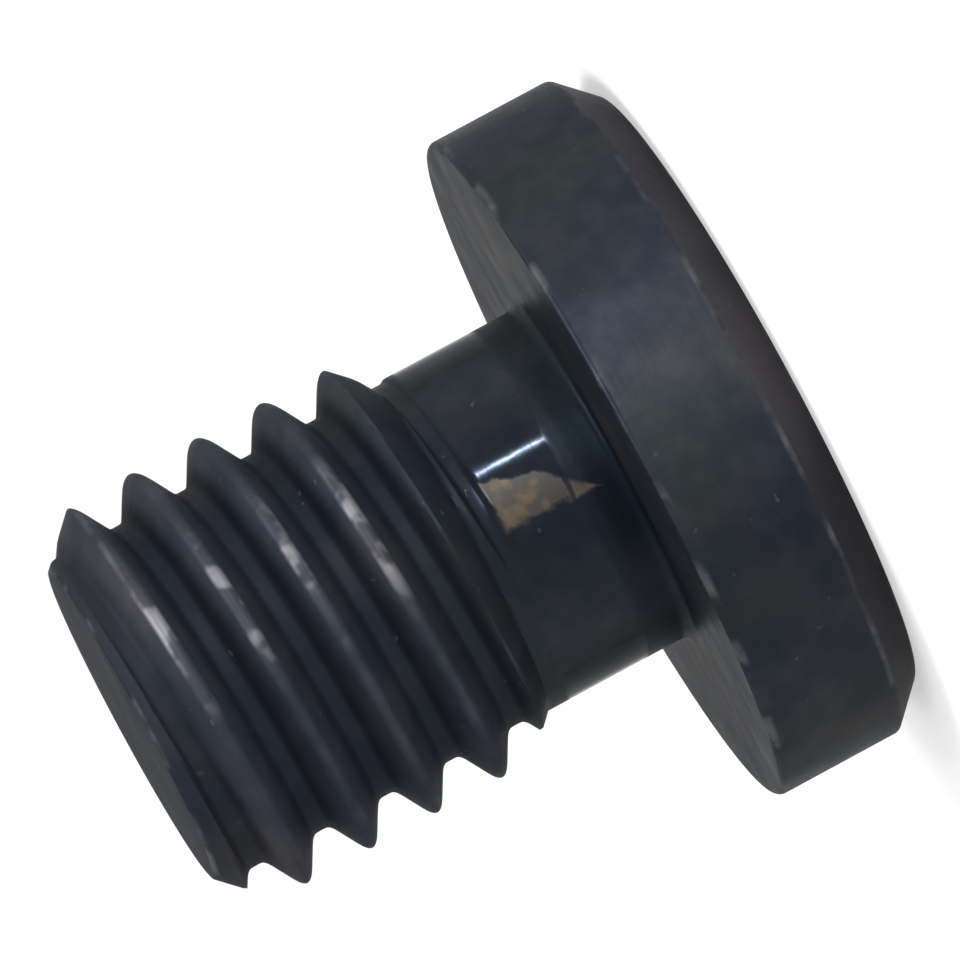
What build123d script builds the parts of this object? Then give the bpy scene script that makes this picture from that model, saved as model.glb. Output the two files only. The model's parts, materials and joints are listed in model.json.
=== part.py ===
from build123d import *
import os
from math import ceil, radians, tan

os.makedirs("parts", exist_ok=True)

# Knife clamp screw turned from one bar, in millimetres.
# It stands on its head: the drive face lies on Z = 0 and the thread points up along +Z.

# thread: M6 x 1 with the ISO basic profile
thread_major = 6.0
thread_pitch = 1.0
thread_depth = 0.5413 * thread_pitch
groove_floor = thread_pitch / 4
flank_angle = 30.0
crest_height = 3.66  # from the bearing face to one crest, measured on the +X side

# head
head_diameter = 10.0
head_height = 2.35
drive_bevel = 0.52
rim_round = 0.1

# shank, measured from the bearing face
shank_length = 7.25
neck_length = 2.2
neck_fillet = 0.15
tip_bevel = 0.65

# hexagon socket in the drive face
socket_flats = 4.0
socket_depth = 1.6
socket_lead = 0.12

# the neck is turned this much over the thread's root, and the groove runs out into it this far
neck_step = 0.04
groove_runout = 0.32

root_radius = thread_major / 2 - thread_depth
neck_radius = root_radius + neck_step
thread_start = head_height + neck_length
start_bevel = thread_major / 2 - neck_radius
tip = head_height + shank_length

# the groove starts in the neck, at the angle where its helix has that height, and leaves beyond the tip
crest_at_x = head_height + crest_height
groove_start = thread_start - groove_runout
groove_start_angle = 360 * (groove_start - crest_at_x - thread_pitch / 2) / thread_pitch
groove_turns = ceil((tip - groove_start) / thread_pitch) + 1

# its cutter reaches past the crests with the same flanks, short of the next turn
cutter_reach = 0.06 * thread_pitch
root_half = groove_floor / 2
mouth_half = root_half + (thread_depth + cutter_reach) * tan(radians(flank_angle))
mouth_radius = thread_major / 2 + cutter_reach

# one turn of the cutter: the groove's section swept along a right-hand helix
with BuildPart() as cutter_turn:
    with BuildLine() as helix:
        Helix(thread_pitch, thread_pitch, root_radius)
    with BuildSketch(Plane.XZ):
        with BuildLine():
            Polyline(
                (root_radius, -root_half),
                (mouth_radius, -mouth_half),
                (mouth_radius, mouth_half),
                (root_radius, root_half),
                close=True,
            )
        make_face()
    sweep(path=helix.wires()[0], is_frenet=True)

with BuildPart() as clamp_screw:
    # the bar as turned: bevelled head, neck, shank and tip
    with BuildSketch(Plane.XZ):
        with BuildLine():
            Polyline(
                (0, 0),
                (head_diameter / 2 - drive_bevel, 0),
                (head_diameter / 2, drive_bevel),
                (head_diameter / 2, head_height),
                (neck_radius, head_height),
                (neck_radius, thread_start),
                (thread_major / 2, thread_start + start_bevel),
                (thread_major / 2, tip - tip_bevel),
                (thread_major / 2 - tip_bevel, tip),
                (0, tip),
                close=True,
            )
        make_face()
    revolve(axis=Axis.Z)
    bearing_face = clamp_screw.faces().filter_by(Plane.XY).filter_by_position(
        Axis.Z, head_height / 2, head_height + neck_length / 2
    )
    bearing_edges = bearing_face.edges().sort_by(SortBy.RADIUS)
    fillet(bearing_edges[-1], rim_round)
    fillet(bearing_edges[0], neck_fillet)

    # the hexagon socket with its lead-in bevel
    with BuildSketch(Plane.XY):
        RegularPolygon(socket_flats / 2, 6, major_radius=False)
    extrude(amount=socket_depth, mode=Mode.SUBTRACT)
    drive_face = clamp_screw.faces().sort_by(Axis.Z)[0]
    chamfer(drive_face.inner_wires()[0].edges(), socket_lead)

    # the thread groove, cut one turn at a time so that each cut is a short one
    for turn in range(groove_turns):
        with Locations(Location((0, 0, groove_start + turn * thread_pitch), (0, 0, groove_start_angle))):
            add(cutter_turn.part, mode=Mode.SUBTRACT)
clamp_screw.part.label = "clamp_screw"
export_step(clamp_screw.part, "parts/clamp_screw.step")
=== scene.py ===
# %% [markdown]
# # Knife clamp screw
# One small steel screw, turned from a bar and blackened in a hot oxide bath. It stands on its head on a
# pale bench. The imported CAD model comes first, as the fixed frame that every size is read from. Units are
# metres throughout.

import json
import math
from functools import reduce

import bmesh
import bpy
import numpy as np
from mathutils import Matrix, Vector

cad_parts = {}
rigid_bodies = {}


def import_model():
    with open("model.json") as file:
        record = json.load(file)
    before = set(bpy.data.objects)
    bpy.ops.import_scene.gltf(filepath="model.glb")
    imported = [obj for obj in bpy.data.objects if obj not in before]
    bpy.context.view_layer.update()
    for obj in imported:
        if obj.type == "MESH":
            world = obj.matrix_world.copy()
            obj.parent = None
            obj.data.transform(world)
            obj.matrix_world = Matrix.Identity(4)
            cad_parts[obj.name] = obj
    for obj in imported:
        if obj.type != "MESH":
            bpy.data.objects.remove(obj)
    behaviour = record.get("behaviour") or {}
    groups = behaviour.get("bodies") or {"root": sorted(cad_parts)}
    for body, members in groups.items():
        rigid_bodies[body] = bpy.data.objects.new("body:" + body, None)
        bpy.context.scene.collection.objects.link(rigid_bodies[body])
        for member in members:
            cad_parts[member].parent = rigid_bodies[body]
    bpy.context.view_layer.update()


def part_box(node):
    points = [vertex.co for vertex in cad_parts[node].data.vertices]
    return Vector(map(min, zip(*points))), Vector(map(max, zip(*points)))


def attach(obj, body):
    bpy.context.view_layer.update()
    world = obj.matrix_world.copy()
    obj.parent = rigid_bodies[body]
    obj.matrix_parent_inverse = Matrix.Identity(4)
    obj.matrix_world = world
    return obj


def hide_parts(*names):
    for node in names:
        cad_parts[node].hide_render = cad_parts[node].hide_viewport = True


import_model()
low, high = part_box("clamp_screw")
MM = 0.001
print("screw box in mm:", [round(v / MM, 3) for v in (*low, *high)])

# %% [markdown]
# ## Sizes
# The overall sizes come from the frame's box: the head's width, and the height of the whole screw. The
# smaller ones are the turner's own: the M6 x 1 thread, the neck, the bevels and the hexagon socket.

# %% Sizes of the turned bar
HEAD_R = high[0]
TIP_Z = high[2]
BEARING_Z = 2.35 * MM
DRIVE_BEVEL = 0.52 * MM
RIM_ROUND = 0.10 * MM
NECK_FILLET = 0.15 * MM
THREAD_START_Z = 4.55 * MM
TIP_BEVEL = 0.65 * MM
THREAD_R = 3.0 * MM
PITCH = 1.0 * MM
THREAD_DEPTH = 0.5413 * PITCH
NECK_R = THREAD_R - THREAD_DEPTH + 0.04 * MM
CREST_FLAT = PITCH / 8
FLANK_ANGLE = math.radians(30)
CREST_Z = BEARING_Z + 3.66 * MM
GROOVE_START_Z = THREAD_START_Z - 0.32 * MM
SOCKET_APOTHEM = 2.0 * MM
SOCKET_DEPTH = 1.6 * MM
SOCKET_LEAD = 0.12 * MM
EDGE_WEAR = 0.035 * MM
EDGE_EASE = 1.4 * EDGE_WEAR
CREST_WEAR = 0.14 * MM
ROOT_ROUND = 0.11 * MM
COLUMNS = 288
SHARP_ANGLE = math.radians(38)
MERGE_DISTANCE = 0.00002 * MM
print("head", HEAD_R * 2 / MM, "mm across, screw", TIP_Z / MM, "mm tall")

# %% [markdown]
# ## The thread's section
# A real M6 thread is a 60 degree V with a narrow flat on each crest and a wider flat in each root. The same
# shape repeats every pitch, so it is a function of one number: how far a point is along the axis from the
# nearest crest. Screwing in and out has rounded the crests, and the die left the roots rounded too, so both
# meet the flanks through a wide smooth step. The neck is a touch thicker than the roots, so the groove runs
# on into it as a shallow line.

# %% Thread section
def smooth_least(a, b, width):
    """The smaller of a and b, with the corner where they cross rounded over width: a polynomial
    smooth minimum."""
    h = np.clip(0.5 + 0.5 * (b - a) / width, 0.0, 1.0)
    return b + (a - b) * h - width * h * (1.0 - h)


def thread_radius(height, turn):
    """Radius of the thread at a height and an angle in turns. The distance to the nearest crest
    grows into a fall of 1 / tan 30 along the flank, kept between no fall on the crest flat and the
    thread's depth in the root."""
    along = height - CREST_Z - PITCH * turn
    off = np.abs((along + PITCH / 2) % PITCH - PITCH / 2)
    fall = (off - CREST_FLAT / 2) / math.tan(FLANK_ANGLE)
    crest = smooth_least(THREAD_R - fall, np.full_like(fall, THREAD_R), CREST_WEAR)
    return -smooth_least(-crest, np.full_like(fall, -(THREAD_R - THREAD_DEPTH)), ROOT_ROUND)


def groove_share(height, turn):
    """How much of the groove's depth is cut at a point, 0 to 1. It follows the height of the middle
    of the point's own groove, and rises over a twelfth of a turn from where the tool first touched
    the neck."""
    along = height - CREST_Z - PITCH * turn
    middle = CREST_Z + PITCH * (np.floor(along / PITCH) + 0.5 + turn)
    share = np.clip((middle - GROOVE_START_Z) / (PITCH / 12) + 0.5, 0.0, 1.0)
    return share * share * (3.0 - 2.0 * share)


def bar_radius(height):
    """Radius of the bar before the thread is cut: the neck, a 45 degree rise, the thread's full
    radius, and a 45 degree fall."""
    rise = NECK_R + np.maximum(height - THREAD_START_Z, 0.0)
    fall = THREAD_R - TIP_BEVEL + (TIP_Z - height)
    full = smooth_least(rise, np.full_like(height, THREAD_R), EDGE_WEAR)
    return smooth_least(full, fall, EDGE_WEAR)


root_r = THREAD_R - THREAD_DEPTH
print("root radius", round(root_r / MM, 3), "mm, neck radius", round(NECK_R / MM, 3), "mm")

# %% [markdown]
# ## The threaded shank
# A grid with level rows would cut across the thread at a slant and leave steps along every crest. Here each
# row climbs with the thread instead, one pitch a turn, so whole rows lie along the crests and roots. Where
# the last column meets the first, a row joins the one a whole pitch higher, and the ends are clipped level
# at the neck and at the tip.

# %% Rows that climb with the thread
SHANK_LOW_Z = 3.96 * MM
SHANK_HIGH_Z = TIP_Z - 0.03 * MM
ROWS_PER_PITCH = 36


def pitch_rows():
    """Offsets within one pitch, from 0 to 1, packed closer round the crest's and the root's
    corners."""
    even = np.linspace(0.0, 1.0, 721)
    corners = np.array([1 / 16, 3 / 8, 5 / 8, 15 / 16])
    weight = 1.0 + 3.0 * np.exp(-(((even[:, None] - corners) / 0.035) ** 2)).sum(axis=1)
    share = np.concatenate([[0.0], np.cumsum((weight[1:] + weight[:-1]) / 2)])
    return np.interp(np.arange(ROWS_PER_PITCH) / ROWS_PER_PITCH * share[-1], share, even)


def shank_grid():
    """Points (column, row) of the threaded shank. Column i stands at i / COLUMNS of a turn, row j
    starts at the height of its place in the thread and climbs a pitch a turn, and the radius is the
    bar's less the groove's share of what the thread takes away."""
    first = CREST_Z - PITCH * math.ceil((CREST_Z - SHANK_LOW_Z) / PITCH + 1)
    pitches = math.ceil((SHANK_HIGH_Z - first) / PITCH) + 1
    rows = (np.arange(pitches)[:, None] + pitch_rows()[None, :]).ravel() * PITCH + first
    turn = np.arange(COLUMNS) / COLUMNS
    height = np.clip(rows[None, :] + PITCH * turn[:, None], SHANK_LOW_Z, SHANK_HIGH_Z)
    bar = bar_radius(height)
    cut = bar - smooth_least(bar, thread_radius(height, turn[:, None]), EDGE_WEAR / 2)
    radius = bar - groove_share(height, turn[:, None]) * cut
    radius = np.where(height <= SHANK_LOW_Z, NECK_R, radius)
    angle = 2 * math.pi * turn[:, None]
    return np.stack([radius * np.cos(angle), radius * np.sin(angle), height], axis=2)


shank = shank_grid()
print("shank grid", shank.shape[:2], "columns by rows")

# %% [markdown]
# ## The turned head, the neck and the socket
# The rest of the screw is a solid of revolution, except for the socket, whose walls are flat. Both fit one
# grid of level rings: a ring is a circle, or a hexagon drawn with the same columns, since a hexagon's
# radius is its half width over the cosine of the angle from the middle of the nearest flat.

# %% Rings of the head and the socket
ANGLE = 2 * math.pi * np.arange(COLUMNS) / COLUMNS
HEXAGON = 1.0 / np.cos(ANGLE % (math.pi / 3) - math.pi / 6)


def circle_rings(radii, heights):
    """Level circles, one for each radius and height."""
    return np.asarray(radii)[:, None] * np.ones(COLUMNS), np.asarray(heights)


def hexagon_rings(half_widths, heights):
    """Level hexagons with corners on +X and -X, one for each half width and height."""
    return np.asarray(half_widths)[:, None] * HEXAGON, np.asarray(heights)


def arc(centre_r, centre_z, size, start, end, steps):
    """A quarter or part of a circle in the section, from start to end degrees, as radii and
    heights."""
    turn = np.radians(np.linspace(start, end, steps))
    return centre_r + size * np.cos(turn), centre_z + size * np.sin(turn)


def rounded_corner(before, corner, after, size, steps=5):
    """A corner of the section eased over size on both sides: a quadratic curve through the corner's
    neighbourhood."""
    before, corner, after = (np.asarray(p, float) for p in (before, corner, after))
    start = corner + (before - corner) / np.linalg.norm(before - corner) * size
    end = corner + (after - corner) / np.linalg.norm(after - corner) * size
    t = np.linspace(0.0, 1.0, steps)[:, None]
    path = (1 - t) ** 2 * start + 2 * t * (1 - t) * corner + t**2 * end
    return path[:, 0], path[:, 1]


def head_rings():
    """Every ring from the middle of the socket's floor, out over the drive face, up the head's
    side, in over the bearing face and up the neck to where the thread's rows begin."""
    drive_r = HEAD_R - DRIVE_BEVEL
    mouth, inner = SOCKET_APOTHEM + SOCKET_LEAD, NECK_R + NECK_FILLET
    share = np.linspace(0.0, 1.0, 7)[1:-1, None]
    drive_face = (1 - share) * mouth * HEXAGON + share * (drive_r - 2 * EDGE_WEAR)
    side = np.linspace(DRIVE_BEVEL + 0.12 * MM, BEARING_Z - RIM_ROUND - 0.05 * MM, 14)
    bearing = np.linspace(HEAD_R - RIM_ROUND - 0.12 * MM, inner + 0.06 * MM, 12)
    neck = np.linspace(BEARING_Z + NECK_FILLET + 0.08 * MM, SHANK_LOW_Z, 16)
    bevel_in = rounded_corner((0, 0), (drive_r, 0), (HEAD_R, DRIVE_BEVEL), EDGE_EASE)
    bevel_out = rounded_corner((drive_r, 0), (HEAD_R, DRIVE_BEVEL), (HEAD_R, BEARING_Z), EDGE_EASE)
    parts = [
        hexagon_rings(SOCKET_APOTHEM * np.linspace(0.12, 1.0, 6), np.full(6, SOCKET_DEPTH)),
        hexagon_rings(np.full(4, SOCKET_APOTHEM), np.linspace(SOCKET_DEPTH, SOCKET_LEAD, 5)[1:]),
        hexagon_rings([mouth - SOCKET_LEAD / 2, mouth], [SOCKET_LEAD / 2, 0.0]),
        (drive_face, np.zeros(len(drive_face))),
        circle_rings(*bevel_in),
        circle_rings(*bevel_out),
        circle_rings(np.full(len(side), HEAD_R), side),
        circle_rings(*arc(HEAD_R - RIM_ROUND, BEARING_Z - RIM_ROUND, RIM_ROUND, 0, 90, 7)),
        circle_rings(bearing, np.full(len(bearing), BEARING_Z)),
        circle_rings(*arc(inner, BEARING_Z + NECK_FILLET, NECK_FILLET, 270, 180, 8)),
        circle_rings(np.full(len(neck), NECK_R), neck),
    ]
    return np.concatenate([r for r, z in parts]), np.concatenate([z for r, z in parts])


def ring_points(radius, height):
    """Points (ring, column) from a radius for each column and a height for each ring."""
    flat = np.broadcast_to(height[:, None], radius.shape)
    return np.stack([radius * np.cos(ANGLE), radius * np.sin(ANGLE), flat], axis=2)


head = ring_points(*head_rings())
tip_r = THREAD_R - TIP_BEVEL
tip_edge = tip_r + np.array([0.012, -0.02, -0.06]) * MM
tip_flat = tip_r * np.array([0.75, 0.4, 0.12])
tip_drop = np.array([0.012, 0.003, 0.0, 0.0, 0.0, 0.0]) * MM
tip = ring_points(*circle_rings(np.concatenate([tip_edge, tip_flat]), TIP_Z - tip_drop))
print("head rings", len(head), "tip rings", len(tip))

# %% [markdown]
# ## One closed skin
# The screw is one piece of steel, so it is one mesh: socket floor, head, neck, thread and tip, in that
# order. The grids share their joining rings. Rows that were clipped level lie on top of each other, so
# merging doubles closes the skin and turns the slivers between them into clean triangles.

# %% Join the grids into the screw
def level_quads(rings, start):
    """Faces between neighbouring level rings, for points numbered ring by ring."""
    row, column = np.meshgrid(np.arange(rings - 1), np.arange(COLUMNS), indexing="ij")
    here = start + row * COLUMNS + column
    right = start + row * COLUMNS + (column + 1) % COLUMNS
    return np.stack([here, right, right + COLUMNS, here + COLUMNS], axis=2).reshape(-1, 4)


def climbing_quads(rows, start):
    """Faces of the shank, numbered column by column: the last column meets the first one a whole
    pitch higher."""
    column, row = np.meshgrid(np.arange(COLUMNS), np.arange(rows - 1), indexing="ij")
    shift = np.where(column == COLUMNS - 1, ROWS_PER_PITCH, 0)
    keep = row + shift + 1 < rows
    here = start + column * rows + row
    right = start + (column + 1) % COLUMNS * rows + row + shift
    return np.stack([here, right, right + 1, here + 1], axis=2)[keep]


def fan(centre, ring_start):
    """Triangles from one middle point to a ring."""
    here = ring_start + np.arange(COLUMNS)
    right = ring_start + (np.arange(COLUMNS) + 1) % COLUMNS
    return np.stack([np.full(COLUMNS, centre), here, right], axis=1)


def build_screw():
    """The whole skin as one mesh object at the origin."""
    last_row = shank[:, -1, :]
    tip_all = np.concatenate([last_row[None], tip])
    points = np.concatenate([head.reshape(-1, 3), shank.reshape(-1, 3), tip_all.reshape(-1, 3),
                             [[0, 0, SOCKET_DEPTH], [0, 0, TIP_Z]]])
    shank_at = head.shape[0] * COLUMNS
    tip_at = shank_at + shank.shape[0] * shank.shape[1]
    socket_mid, tip_mid = len(points) - 2, len(points) - 1
    faces = level_quads(head.shape[0], 0).tolist() + climbing_quads(shank.shape[1], shank_at).tolist()
    faces += level_quads(len(tip_all), tip_at).tolist()
    faces += fan(socket_mid, 0).tolist()
    faces += fan(tip_mid, tip_at + (len(tip_all) - 1) * COLUMNS).tolist()
    mesh = bpy.data.meshes.new("screw_body")
    mesh.from_pydata(points.tolist(), [], faces)
    skin = bmesh.new()
    skin.from_mesh(mesh)
    bmesh.ops.remove_doubles(skin, verts=skin.verts, dist=MERGE_DISTANCE)
    bmesh.ops.recalc_face_normals(skin, faces=skin.faces)
    open_edges = sum(not e.is_manifold for e in skin.edges)
    skin.to_mesh(mesh)
    skin.free()
    mesh.polygons.foreach_set("use_smooth", np.ones(len(mesh.polygons), dtype=bool))
    mesh.set_sharp_from_angle(angle=SHARP_ANGLE)
    mesh.update()
    screw = bpy.data.objects.new("screw_body", mesh)
    bpy.context.scene.collection.objects.link(screw)
    print("screw_body:", len(mesh.polygons), "faces,", open_edges, "open edges")
    return screw


screw = build_screw()
screw.data.calc_loop_triangles()
print("triangles", len(screw.data.loop_triangles))
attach(screw, "root")
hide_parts("clamp_screw")

# %% [markdown]
# ## Blackened steel
# Hot oxide blacking leaves a thin dark layer, part scattering crust and part shining metal under it. So the
# shader is half metal and half plain dark colour: pure metal would leave the thread's grooves pitch black.
# A dark edge tint keeps it from flashing white at a glancing angle. Everything else is worked out from the
# object's own coordinates in millimetres, so it stays on the screw. A few small helpers keep the sums
# readable.

# %% Helpers for the steel's nodes
steel = bpy.data.materials.new("blackened_steel")
steel.use_nodes = True
nodes, links = steel.node_tree.nodes, steel.node_tree.links


def feed(value, socket):
    """Give a socket a node's output, or a plain number or colour."""
    if isinstance(value, bpy.types.NodeSocket):
        links.new(value, socket)
    else:
        socket.default_value = value


def maths(operation, *values):
    """One maths node, such as ADD, MULTIPLY or MAXIMUM."""
    node = nodes.new("ShaderNodeMath")
    node.operation = operation
    for value, socket in zip(values, node.inputs):
        feed(value, socket)
    return node.outputs[0]


def product(*values):
    """All the values multiplied together."""
    return reduce(lambda a, b: maths("MULTIPLY", a, b), values)


def largest(*values):
    """The largest of the values."""
    return reduce(lambda a, b: maths("MAXIMUM", a, b), values)


def line(value, slope, start):
    """A straight line: value times slope, plus start."""
    return maths("MULTIPLY_ADD", value, slope, start)


def apart(a, b):
    """How far a and b lie apart, whichever is larger."""
    return maths("ABSOLUTE", maths("SUBTRACT", a, b))


def length(a, b):
    """Length of the slanting side over two square ones: the root of a squared plus b squared."""
    return maths("SQRT", maths("ADD", product(a, a), product(b, b)))


def step(value, start, end):
    """0 before start, 1 after end, smooth between. With start over end it falls instead of rising."""
    node = nodes.new("ShaderNodeMapRange")
    node.interpolation_type = "SMOOTHSTEP"
    for source, name in ((value, "Value"), (start, "From Min"), (end, "From Max")):
        feed(source, node.inputs[name])
    return node.outputs["Result"]


# %% [markdown]
# ## Where a point lies on the screw
# The steel needs three things at each point: its radius from the axis, its height, and its angle round from
# the front. A pair of numbers below says where a step starts and where it ends, on a radius or a height in
# millimetres.

# %% Radius, height and angle
coordinates = nodes.new("ShaderNodeTexCoord")
scaled = nodes.new("ShaderNodeVectorMath")
scaled.operation = "SCALE"
links.new(coordinates.outputs["Object"], scaled.inputs[0])
scaled.inputs["Scale"].default_value = 1 / MM
millimetres = scaled.outputs[0]
split = nodes.new("ShaderNodeSeparateXYZ")
links.new(millimetres, split.inputs[0])
px, py, pz = split.outputs
radius = length(px, py)
around = maths("ARCTAN2", px, product(py, -1.0))

SHANK_RADII = (3.3, 3.1)
NECK_RADII = (2.62, 2.56)
SHINE_STARTS, SHINE_ENDS = (2.98, 3.10), (4.30, 4.20)
THREAD_HEIGHTS = (4.6, 5.0)
on_shank = step(radius, *SHANK_RADII)
on_neck = product(step(radius, *NECK_RADII), step(pz, *SHINE_STARTS), step(pz, *SHINE_ENDS))
in_thread = step(pz, *THREAD_HEIGHTS)
print("the steel reads each point's radius, height and angle in millimetres and radians")

# %% [markdown]
# ## Noise and colour
# Everything uneven on the steel comes from one kind of cloudy noise at different sizes, each with its own
# seed, so it looks the same in every run. Colours are then mixed by a share that goes from 0 to 1.


# %% Noise and colour mixing
def noise(scale, seed, detail, place=None):
    """Cloudy noise round 0.5, with scale blotches a millimetre. The seed is a fixed place on the
    fourth axis."""
    node = nodes.new("ShaderNodeTexNoise")
    node.noise_dimensions = "4D"
    feed(place or millimetres, node.inputs["Vector"])
    for name, number in (("Scale", scale), ("W", seed), ("Detail", detail)):
        node.inputs[name].default_value = number
    return node.outputs["Fac"]


def blend(share, a, b):
    """Colour a turning into colour b as share goes from 0 to 1."""
    node = nodes.new("ShaderNodeMix")
    node.data_type = "RGBA"
    for value, socket in ((share, node.inputs[0]), (a, node.inputs[6]), (b, node.inputs[7])):
        feed(value, socket)
    return node.outputs[2]


# %% [markdown]
# ## Stains in the blacking
# The bath never colours evenly. Wide clouds drift from blue to a greenish black, and thinner ones go brown
# where the oxide is thin, more so towards the two ends of the screw, where fingers and the bench rub it.
# The thread keeps a trace of blue, and the head's bevel is painted lighter all round: painted light on the
# bevel.

# %% Stain colours
BLUE = (0.0182, 0.0217, 0.0308, 1.0)
GREEN = (0.0208, 0.0258, 0.0282, 1.0)
BROWN = (0.0420, 0.0380, 0.0395, 1.0)
BARE = (0.1050, 0.1050, 0.1120, 1.0)
THREAD_BLUE = (0.0720, 0.0880, 0.1250, 1.0)
BEVEL_PAINTED_LIGHT = (0.0640, 0.0590, 0.0640, 1.0)
clouds = step(noise(0.42, 2.0, 1.5), 0.36, 0.64)
ends = largest(step(pz, 8.3, 9.4), step(pz, 0.9, 0.1))
brown_clouds = step(line(ends, 0.21, noise(0.55, 7.0, 1.5)), 0.50, 0.76)
mottle = step(noise(2.6, 11.0, 4.0), 0.35, 0.75)
stains_and_bevel_light = blend(product(brown_clouds, 0.75), blend(clouds, BLUE, GREEN), BROWN)
stains_and_bevel_light = blend(product(mottle, 0.09), stains_and_bevel_light, BARE)
stains_and_bevel_light = blend(product(step(pz, 4.4, 5.2), 0.09), stains_and_bevel_light, THREAD_BLUE)
# Painted light: the head's bevel is lifted to a lighter colour all round.
stains_and_bevel_light = blend(product(step(pz, 0.55, 0.46), 0.42), stains_and_bevel_light, BEVEL_PAINTED_LIGHT)
print("stains: blue to green clouds, brown towards the ends and on the head's bevel")

# %% [markdown]
# ## Worn edges
# Blacking goes first from the sharp edges. Each turned edge is a circle, so the wear is the distance from
# it in the section, broken up by noise, and the thread's crests are simply the largest radius on the shank.
# On one side, broken stretches of the crests are painted bright: a painted highlight where lamps catch
# them.


# %% Wear along the edges
def edge_wear(edge_radius, edge_height, width):
    """1 on a turned edge, given by its radius and height in metres, falling to 0 at width in mm
    from it."""
    away = length(maths("SUBTRACT", radius, edge_radius / MM), maths("SUBTRACT", pz, edge_height / MM))
    return step(away, width, width * 0.3)


RIM_INSET = 0.03 * MM
edges = largest(
    edge_wear(HEAD_R - RIM_INSET, BEARING_Z - RIM_INSET, 0.12),
    edge_wear(HEAD_R, DRIVE_BEVEL, 0.07),
    edge_wear(HEAD_R - DRIVE_BEVEL, 0.0, 0.09),
    edge_wear(THREAD_R, TIP_Z - TIP_BEVEL, 0.08),
    edge_wear(THREAD_R - TIP_BEVEL, TIP_Z, 0.10),
)
CREST_RADII = (2.90, 2.97)
LIT_SIDE_ANGLE = 0.28
crests = product(step(radius, *CREST_RADII), on_shank, in_thread)
patchy = step(noise(1.3, 21.0, 4.0), 0.47, 0.66)
worn = largest(product(edges, patchy), product(crests, patchy, 0.15))
broken = step(noise(2.2, 25.0, 2.0), 0.46, 0.62)
# Painted highlight: bright steel only on the side of the crests that faces the lamps.
lit_side = step(apart(around, LIT_SIDE_ANGLE), 0.50, 0.10)
crest_highlight_share = product(crests, lit_side, line(broken, 0.75, 0.10))
print("worn edges: rim, both bevels, tip and thread crests")

# %% [markdown]
# ## The painted reflection on the neck
# In front the neck carries a painted reflection: a grey-brown patch that stands in for something brown
# mirrored in the shiny neck, just under the lamp's streak. It is a slanting shape with four straight sides
# and a ragged edge, so it is the least of four straight-edge distances on the unrolled neck, with noise
# added. A dark line crosses its end by the head.

# %% Painted reflection on the neck
# Colours of the painted reflection on the neck.
REFLECTION_PALE = (0.050, 0.048, 0.045, 1.0)
REFLECTION_BROWN = (0.085, 0.068, 0.049, 1.0)
PATCH_LOW_SIDE = -0.13
PATCH_FAR_END = 4.16
DARK_LINE_Z = 3.10
arc_mm = product(around, NECK_R / MM)
ragged = line(noise(5.0, 31.0, 3.0), 0.22, -0.11)
top_side = maths("MINIMUM", line(pz, 0.89, -2.566), line(pz, 0.27, -0.451))
across = maths("MINIMUM", maths("SUBTRACT", top_side, arc_mm), maths("SUBTRACT", arc_mm, PATCH_LOW_SIDE))
inside = maths("ADD", maths("MINIMUM", across, maths("SUBTRACT", PATCH_FAR_END, pz)), ragged)
dark_line = step(apart(pz, line(ragged, 0.3, DARK_LINE_Z)), 0.05, 0.02)
# Painted reflection: the mask of the brown patch on the neck's front, crossed by a dark line.
patch = product(step(inside, -0.02, 0.07), on_shank, step(radius, 2.40, 2.48), line(dark_line, -0.8, 1.0))
brown_reflection = blend(step(noise(3.8, 35.0, 3.0), 0.49, 0.66), REFLECTION_PALE, REFLECTION_BROWN)
print("rubbed patch: about 1.4 mm long and 0.8 mm wide, in front")

# %% [markdown]
# ## Flecks and painted shade
# A few small flecks catch the light where a grain of the crust has come off: they are the rare peaks of a
# fine noise. Painted shade darkens the thread's roots and the corner between the neck and the head, where
# shade falls. The front of the neck is painted the blackest part of the screw, round the painted
# reflection, and one side of the head is painted darker too: more painted shade.

# %% Flecks and painted shade
FRONT_ANGLE = 0.02
DARK_SIDE_ANGLE = -0.47
fleck = product(step(noise(6.5, 61.0, 1.0), 0.72, 0.78), step(noise(0.9, 63.0, 1.0), 0.45, 0.60))
front = step(apart(around, FRONT_ANGLE), 0.85, 0.25)
# Painted shade in the roots, in the head's corner, on the neck's front and on one side of the head.
root_shade = product(step(radius, 2.80, 2.50), in_thread, 0.42)
corner_shade = product(step(radius, 2.75, 2.60), step(pz, 3.15, 2.75), line(front, 0.50, 0.32))
neck_shade = product(step(radius, 2.62, 2.54), step(pz, 4.9, 4.3), line(front, 0.50, 0.05))
head_side_shade = product(step(apart(around, DARK_SIDE_ANGLE), 0.45, 0.08), step(radius, 4.3, 4.8), 0.42)
painted_shade = largest(root_shade, corner_shade, neck_shade, head_side_shade)
print("flecks on the crust, grime in the roots and at the head")

# %% [markdown]
# ## Putting the steel together
# The colour takes the stains, then the painted shade and the wear, then the painted crest highlights and
# the painted reflection on the neck. The bearing face and the tip are painted darker: painted shade on
# faces the overhead lamp lights.

# %% Colour of the steel
SHADE_COLOUR = (0.004, 0.007, 0.011, 1.0)
CREST_HIGHLIGHT = (0.210, 0.210, 0.225, 1.0)
# Painted shade: the bearing face and the tip face are painted darker where the overhead lamp lights them.
bearing_face = product(step(apart(pz, BEARING_Z / MM), 0.03, 0.01), step(radius, 2.60, 2.70))
tip_face = step(pz, TIP_Z / MM - 0.08, TIP_Z / MM - 0.02)
painted_shade_share = largest(painted_shade, product(tip_face, 0.42), product(bearing_face, 0.294))
bare_share = largest(product(worn, 0.65), product(fleck, 0.35))
colour = blend(bare_share, blend(painted_shade_share, stains_and_bevel_light, SHADE_COLOUR), BARE)
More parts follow.
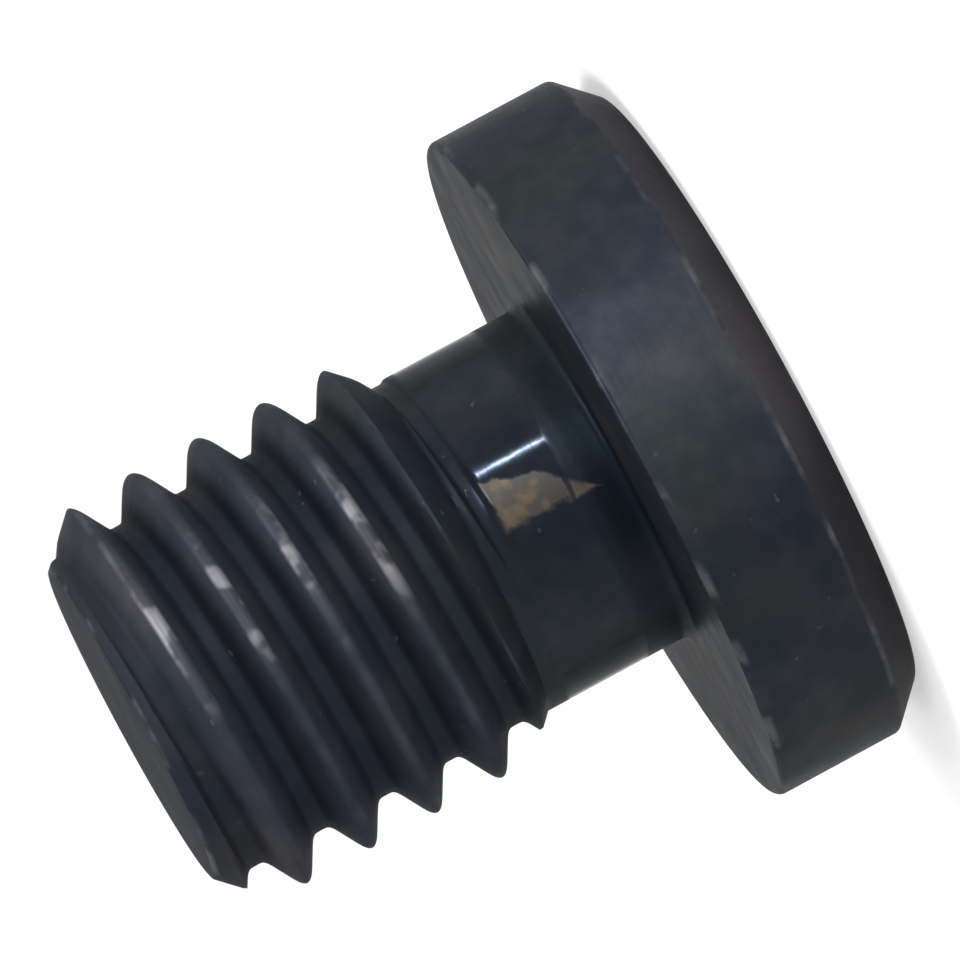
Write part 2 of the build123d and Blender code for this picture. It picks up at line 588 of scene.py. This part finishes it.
# The painted highlight on the crests and the painted reflection on the neck go over the colour last.
colour = blend(patch, blend(crest_highlight_share, colour, CREST_HIGHLIGHT), brown_reflection)
shader = nodes["Principled BSDF"]
links.new(colour, shader.inputs["Base Color"])
shader.inputs["Metallic"].default_value = 0.5
shader.inputs["Specular IOR Level"].default_value = 0.05
shader.inputs["Specular Tint"].default_value = (0.17, 0.17, 0.18, 1.0)
print("colour: stains, crust, wear, bright crests and the straw patch")

# %% [markdown]
# ## Satin and shine
# The roughness is satin, with cloudy changes. It is duller on the thread and a little lower on rubbed
# crests. The neck was turned to a fine finish, so it shines more than the rest, up to the line where the
# thread begins.

# %% Roughness of the steel
satin_least = line(step(pz, 4.4, 5.0), 0.17, 0.30)
satin = line(noise(1.1, 41.0, 3.0), 0.24, satin_least)
polished = line(noise(2.0, 45.0, 2.0), 0.05, 0.09)
finish = nodes.new("ShaderNodeMix")
links.new(on_neck, finish.inputs[0])
links.new(satin, finish.inputs[2])
links.new(polished, finish.inputs[3])
rubbed = line(product(crests, patchy), -0.10, finish.outputs[0])
links.new(largest(rubbed, product(patch, 0.38)), shader.inputs["Roughness"])
print("roughness: satin, shining on the neck")

# %% [markdown]
# ## Relief
# The relief is in three sizes: fine turning rings, a soft unevenness, and the flecks. The rings read the
# radius and the height together, so they run round the axis on the faces and on the sides alike. The fine
# neck has the least.

# %% Relief of the steel
RELIEF_DEPTH = 0.02 * MM
along_lathe = nodes.new("ShaderNodeCombineXYZ")
links.new(line(pz, 1.3, radius), along_lathe.inputs[0])
rings = noise(16.0, 51.0, 1.0, along_lathe.outputs[0])
uneven = noise(1.4, 55.0, 3.0)
bump = nodes.new("ShaderNodeBump")
bump.inputs["Distance"].default_value = RELIEF_DEPTH
links.new(line(on_neck, -0.75, 1.0), bump.inputs["Strength"])
links.new(line(rings, 0.10, line(fleck, -0.3, uneven)), bump.inputs["Height"])
links.new(bump.outputs[0], shader.inputs["Normal"])
screw.data.materials.append(steel)
print("blackened steel:", len(nodes), "nodes")

# %% [markdown]
# ## Bench
# A pale bench under a plain white sky gives a white ground with the screw's own soft shadow on it. Where
# the bench is looked at, straight or in a reflection, its paint is lifted part of the way to plain white,
# and the shadow stays.

# %% Bench
BENCH_HALF = 0.8
WHITE_LIFT = 0.45
corners = [(-BENCH_HALF, -BENCH_HALF, 0), (BENCH_HALF, -BENCH_HALF, 0),
           (BENCH_HALF, BENCH_HALF, 0), (-BENCH_HALF, BENCH_HALF, 0)]
bench_mesh = bpy.data.meshes.new("bench")
bench_mesh.from_pydata(corners, [], [(0, 1, 2, 3)])
bench = bpy.data.objects.new("bench", bench_mesh)
bpy.context.scene.collection.objects.link(bench)
print("bench:", 2 * BENCH_HALF, "m square")

# %% Bench paint
paint = bpy.data.materials.new("bench_paint")
paint.use_nodes = True
bench_nodes, bench_links = paint.node_tree.nodes, paint.node_tree.links
bench_shader = bench_nodes["Principled BSDF"]
bench_shader.inputs["Base Color"].default_value = (0.95, 0.95, 0.95, 1)
bench_shader.inputs["Roughness"].default_value = 0.9
rays = bench_nodes.new("ShaderNodeLightPath")
seen = rays.outputs["Is Camera Ray"]
for ray in ("Is Glossy Ray", "Is Transmission Ray"):
    either = bench_nodes.new("ShaderNodeMath")
    either.operation = "MAXIMUM"
    bench_links.new(seen, either.inputs[0])
    bench_links.new(rays.outputs[ray], either.inputs[1])
    seen = either.outputs[0]
lift = bench_nodes.new("ShaderNodeMath")
lift.operation = "MULTIPLY"
lift.inputs[1].default_value = WHITE_LIFT
bench_links.new(seen, lift.inputs[0])
white = bench_nodes.new("ShaderNodeEmission")
lifted = bench_nodes.new("ShaderNodeMixShader")
bench_links.new(lift.outputs[0], lifted.inputs[0])
bench_links.new(bench_shader.outputs[0], lifted.inputs[1])
bench_links.new(white.outputs[0], lifted.inputs[2])
bench_links.new(lifted.outputs[0], bench_nodes["Material Output"].inputs["Surface"])
bench_mesh.materials.append(paint)
print("bench paint: pale, lifted towards plain white where it is looked at")

# %% [markdown]
# ## Sky and lamps
# The white sky lights the screw softly from all round. A narrow lamp low beside the camera draws the thin
# streak on the turned neck, a wide one in front lifts the side that faces us, and one above and behind
# lights the thread.

# %% Sky
SKY_STRENGTH = 1.03
sky = bpy.data.worlds.new("sky")
bpy.context.scene.world = sky
sky.use_nodes = True
sky_light = sky.node_tree.nodes["Background"]
sky_light.inputs["Color"].default_value = (1, 1, 1, 1)
sky_light.inputs["Strength"].default_value = SKY_STRENGTH
print("sky: plain white at strength", SKY_STRENGTH)

# %% Lamps
AIM = Vector((0, 0, 3.6 * MM))


def lamp(name, place, width, height, radiance):
    """A flat lamp of width by height in mm, standing at place in mm and facing the middle of the
    screw. Its power is its area times pi times the radiance, the brightness it would have in a
    mirror."""
    data = bpy.data.lights.new(name, "AREA")
    data.shape = "RECTANGLE"
    data.size, data.size_y = width * MM, height * MM
    data.energy = radiance * math.pi * data.size * data.size_y
    spot = Vector(place) * MM
    facing = (spot - AIM).to_track_quat("Z", "Y").to_matrix().to_4x4()
    lamp_object = bpy.data.objects.new(name, data)
    lamp_object.matrix_world = Matrix.Translation(spot) @ facing
    bpy.context.scene.collection.objects.link(lamp_object)


def from_side(degrees, distance, height):
    """A place in mm at an angle round from the front towards +X, at a distance and a height over
    the bench."""
    turn = math.radians(degrees)
    return distance * math.sin(turn), -distance * math.cos(turn), height


lamp("strip", from_side(34.1, 26.0, 1.35), 0.4, 1.3, 520.0)
lamp("front", from_side(22.0, 90.0, 12.0), 20.0, 24.0, 17.0)
lamp("overhead", (37.0, -15.0, 95.0), 30.0, 30.0, 20.0)
print("lamps: a narrow strip by the bench, a soft one in front, a soft one overhead")

# %% [markdown]
# ## Camera
# The camera looks from a little above the bench with a very long lens, so the screw hardly narrows with
# distance. It is rolled over by more than a right angle, so the standing screw lies slanting in the frame
# with its head up right.

# %% Camera
VIEW_TILT = math.radians(5.5)
ROLL = math.radians(118.35)
FRAME_WIDTH = 12.96 * MM
LENS = 600.0
SENSOR = 36.0
look_at = Vector((0.681, 0.0, 3.867)) * MM
level_right = Vector((1, 0, 0))
level_up = Vector((0, math.sin(VIEW_TILT), math.cos(VIEW_TILT)))
forward = Vector((0, math.cos(VIEW_TILT), -math.sin(VIEW_TILT)))
right = math.cos(ROLL) * level_right - math.sin(ROLL) * level_up
up = math.sin(ROLL) * level_right + math.cos(ROLL) * level_up
away = FRAME_WIDTH * LENS / SENSOR
camera_data = bpy.data.cameras.new("camera")
camera_data.lens = LENS
camera_data.sensor_width = SENSOR
camera_data.clip_start = 0.01
camera_data.clip_end = 10.0
camera = bpy.data.objects.new("camera", camera_data)
turned = Matrix((right, up, -forward)).transposed().to_4x4()
camera.matrix_world = Matrix.Translation(look_at - forward * away) @ turned
bpy.context.scene.collection.objects.link(camera)
bpy.context.scene.camera = camera
bpy.context.scene.view_settings.view_transform = "Standard"
print("camera:", round(away, 3), "m away, frame", round(FRAME_WIDTH / MM, 2), "mm wide")
